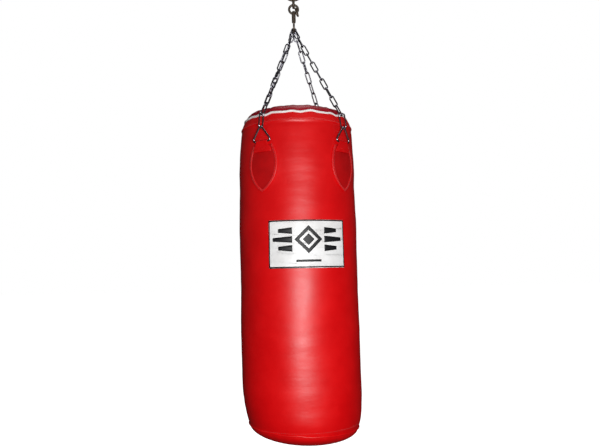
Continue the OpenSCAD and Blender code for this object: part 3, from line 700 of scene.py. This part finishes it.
# Thin zinc plate on welded wire: bluish and uneven, dark where it has tarnished
zinc_chain, tree = new_material("zinc-plated steel chain")
place = add_node(tree, "TexCoord").outputs["Object"]
dull = add_node(tree, "TexNoise", {"Vector": place, "Scale": 120.0, "Detail": 6.0,
                                   "Roughness": 0.7})
tone = add_node(tree, "ValToRGB", {"Fac": dull.outputs["Fac"]})
tone.color_ramp.elements[0].position, tone.color_ramp.elements[0].color = 0.34, linear("#3B3A41")
tone.color_ramp.elements[1].position, tone.color_ramp.elements[1].color = 0.62, linear("#A9A8B2")
polish = add_node(tree, "MapRange", {"Value": dull.outputs["Fac"], "From Min": 0.3,
                                     "From Max": 0.7, "To Min": 0.42, "To Max": 0.24})
pits = add_node(tree, "Bump", {"Height": dull.outputs["Fac"], "Distance": 0.0004,
                               "Strength": 0.4})
shader = add_node(tree, "BsdfPrincipled", {
    "Base Color": tone.outputs["Color"], "Metallic": 1.0, "Roughness": polish.outputs[0],
    "Normal": pits.outputs[0]})
add_node(tree, "OutputMaterial", {"Surface": shader.outputs[0]})

for name in ANCHOR_NAMES:
    finish_node(plated_rod, "delta_ring_" + name, "snap_hook_" + name, "hook_gate_" + name,
                "gate_pin_" + name, "gate_spring_" + name)
    finish_node(zinc_chain, "chain_leg_" + name)

# ---- Swivel, links and hanging ring ------------------------------------------------------------
# Forged eyes on a riveted pin, a heavy link and a welded ring. The plating has worn through, so
# the steel has gone brownish and dull.

# Forged mild steel with the plating gone: brown bloom in the hollows, grey metal where it rubs
worn_steel, tree = new_material("weathered forged steel")
place = add_node(tree, "TexCoord").outputs["Object"]
rust = add_node(tree, "TexNoise", {"Vector": place, "Scale": 110.0, "Detail": 7.0,
                                   "Roughness": 0.7})
tone = add_node(tree, "ValToRGB", {"Fac": rust.outputs["Fac"]})
tone.color_ramp.elements[0].position, tone.color_ramp.elements[0].color = 0.36, linear("#4A3A2E")
tone.color_ramp.elements[1].position, tone.color_ramp.elements[1].color = 0.62, linear("#A39689")
bare = add_node(tree, "MapRange", {"Value": rust.outputs["Fac"], "From Min": 0.36,
                                   "From Max": 0.56, "To Min": 0.35, "To Max": 1.0})
polish = add_node(tree, "MapRange", {"Value": rust.outputs["Fac"], "From Min": 0.3,
                                     "From Max": 0.7, "To Min": 0.6, "To Max": 0.32})
pits = add_node(tree, "Bump", {"Height": rust.outputs["Fac"], "Distance": 0.0006,
                               "Strength": 0.5})
shader = add_node(tree, "BsdfPrincipled", {
    "Base Color": tone.outputs["Color"], "Metallic": bare.outputs[0],
    "Roughness": polish.outputs[0], "Normal": pits.outputs[0]})
add_node(tree, "OutputMaterial", {"Surface": shader.outputs[0]})

finish_node(worn_steel, "swivel_eye_pin", "swivel_washer", "swivel_head", "swivel_housing",
            "spare_link", "heavy_link", "hanging_ring")

# ---- Filling zip -------------------------------------------------------------------------------
# A coarse moulded zip lets filling be added through the top: woven tapes, plastic teeth, and a
# die-cast slider with its puller.

# Polyester twill, dyed black: matt, with a fine woven rib
zip_tape, tree = new_material("woven polyester zip tape")
place = add_node(tree, "TexCoord").outputs["Object"]
weave = add_node(tree, "TexWave", {"Vector": place, "Scale": 260.0, "Distortion": 0.6})
tone = add_node(tree, "ValToRGB", {"Fac": weave.outputs["Fac"]})
tone.color_ramp.elements[0].color = linear("#14110F")
tone.color_ramp.elements[1].color = linear("#2B2624")
threads = add_node(tree, "Bump", {"Height": weave.outputs["Fac"], "Distance": 0.0003,
                                  "Strength": 0.5})
shader = add_node(tree, "BsdfPrincipled", {
    "Base Color": tone.outputs["Color"], "Roughness": 0.85, "Normal": threads.outputs[0]})
add_node(tree, "OutputMaterial", {"Surface": shader.outputs[0]})

# Injection-moulded black acetal, with a painted highlight: the tops of the teeth are coloured
# lighter
zip_plastic, tree = new_material("black acetal zip teeth")
place = add_node(tree, "TexCoord").outputs["Object"]
tooth = add_node(tree, "TexWave", {"Vector": place, "Scale": 1 / 0.0175})
# The ramp lightens the crests of the teeth, where the bump is highest: a painted highlight
tone = add_node(tree, "ValToRGB", {"Fac": tooth.outputs["Fac"]})
tone.color_ramp.elements[0].color = linear("#0C0B0B")
tone.color_ramp.elements[1].color = linear("#2E2B2B")
ridges = add_node(tree, "Bump", {"Height": tooth.outputs["Fac"], "Distance": 0.0012,
                                 "Strength": 0.9})
shader = add_node(tree, "BsdfPrincipled", {
    "Base Color": tone.outputs["Color"], "Roughness": 0.35, "Normal": ridges.outputs[0]})
add_node(tree, "OutputMaterial", {"Surface": shader.outputs[0]})

finish_node(zip_tape, "zip_tape_front", "zip_tape_rear")
finish_node(zip_plastic, "zip_teeth")
finish_node(plated_rod, "zip_stops", "zip_slider", "zip_puller")

# ---- Studio ------------------------------------------------------------------------------------
# A pale floor under the hanging bag, one tall soft light beside the camera, a faint one from
# above, and a pale surround.

FLOOR_Z = -1.82
LIGHTS = [  # name, place, width and height, watts, aimed at; in metres
    ("key", (0.24, -2.2, -1.04), (0.75, 0.4), 40, (0, 0, -0.9)),
    ("back", (0.0, 2.7, -0.4), (1.4, 1.8), 9, (0, 0, -0.9)),
    ("top", (0.2, 0.2, 1.5), (1.2, 1.2), 17, (0, 0, -0.8)),
]
CAMERA_AT = (0.006, -1.96, RIM_Z - 0.441)
CAMERA_UP, CAMERA_ROLL = radians(94), radians(-1.2)

# Flat pale paint, lit from within where it is seen, and dark to the bag's reflections
floor_pale, tree = new_material("pale studio floor")
paint = add_node(tree, "BsdfDiffuse", {"Color": linear("#F2F2F2")})
dark_side = add_node(tree, "BsdfDiffuse", {"Color": linear("#3C3C3C")})
glow = add_node(tree, "Emission", {"Color": (1, 1, 1, 1), "Strength": 0.97})
seen = add_node(tree, "LightPath").outputs["Is Camera Ray"]
lit = add_node(tree, "MixShader", {"Fac": seen, 1: dark_side.outputs[0]})
both = add_node(tree, "AddShader", {0: paint.outputs[0], 1: glow.outputs[0]})
tree.links.new(both.outputs[0], lit.inputs[2])
add_node(tree, "OutputMaterial", {"Surface": lit.outputs[0]})

bm = bmesh.new()
bmesh.ops.create_grid(bm, x_segments=1, y_segments=1, size=30,
                      matrix=Matrix.Translation((0, 0, FLOOR_Z)))
mesh = bpy.data.meshes.new("floor")
bm.to_mesh(mesh)
bm.free()
mesh.materials.append(floor_pale)
floor = bpy.data.objects.new("floor", mesh)
bpy.context.collection.objects.link(floor)

world = bpy.data.worlds.new("studio")
bpy.context.scene.world = world
world.use_nodes = True
tree = world.node_tree
tree.nodes.clear()
rays = add_node(tree, "LightPath").outputs
ambient = add_node(tree, "Math", {0: rays["Is Glossy Ray"], 1: -0.15, 2: 0.17},
                   operation="MULTIPLY_ADD")
level = add_node(tree, "Math", {0: rays["Is Camera Ray"], 1: 0.83, 2: ambient.outputs[0]},
                 operation="MULTIPLY_ADD")
sky = add_node(tree, "Background", {"Color": (1, 1, 1, 1), "Strength": level.outputs[0]})
add_node(tree, "OutputWorld", {"Surface": sky.outputs[0]})

for name, at, size, power, aim in LIGHTS:
    lamp = bpy.data.lights.new(name, "AREA")
    lamp.shape, lamp.size, lamp.size_y, lamp.energy = "RECTANGLE", size[0], size[1], power
    held = bpy.data.objects.new(name, lamp)
    bpy.context.collection.objects.link(held)
    held.location = at
    held.rotation_euler = (Vector(aim) - Vector(at)).to_track_quat("-Z", "Y").to_euler()
    held.visible_camera = False

camera_data = bpy.data.cameras.new("camera")
camera_data.lens, camera_data.sensor_width = 39.6, 36
camera = bpy.data.objects.new("camera", camera_data)
bpy.context.collection.objects.link(camera)
camera.matrix_world = (Matrix.Translation(CAMERA_AT) @ Matrix.Rotation(CAMERA_UP, 4, "X")
                       @ Matrix.Rotation(CAMERA_ROLL, 4, "Z"))
bpy.context.scene.camera = camera
bpy.context.scene.view_settings.view_transform = "Standard"
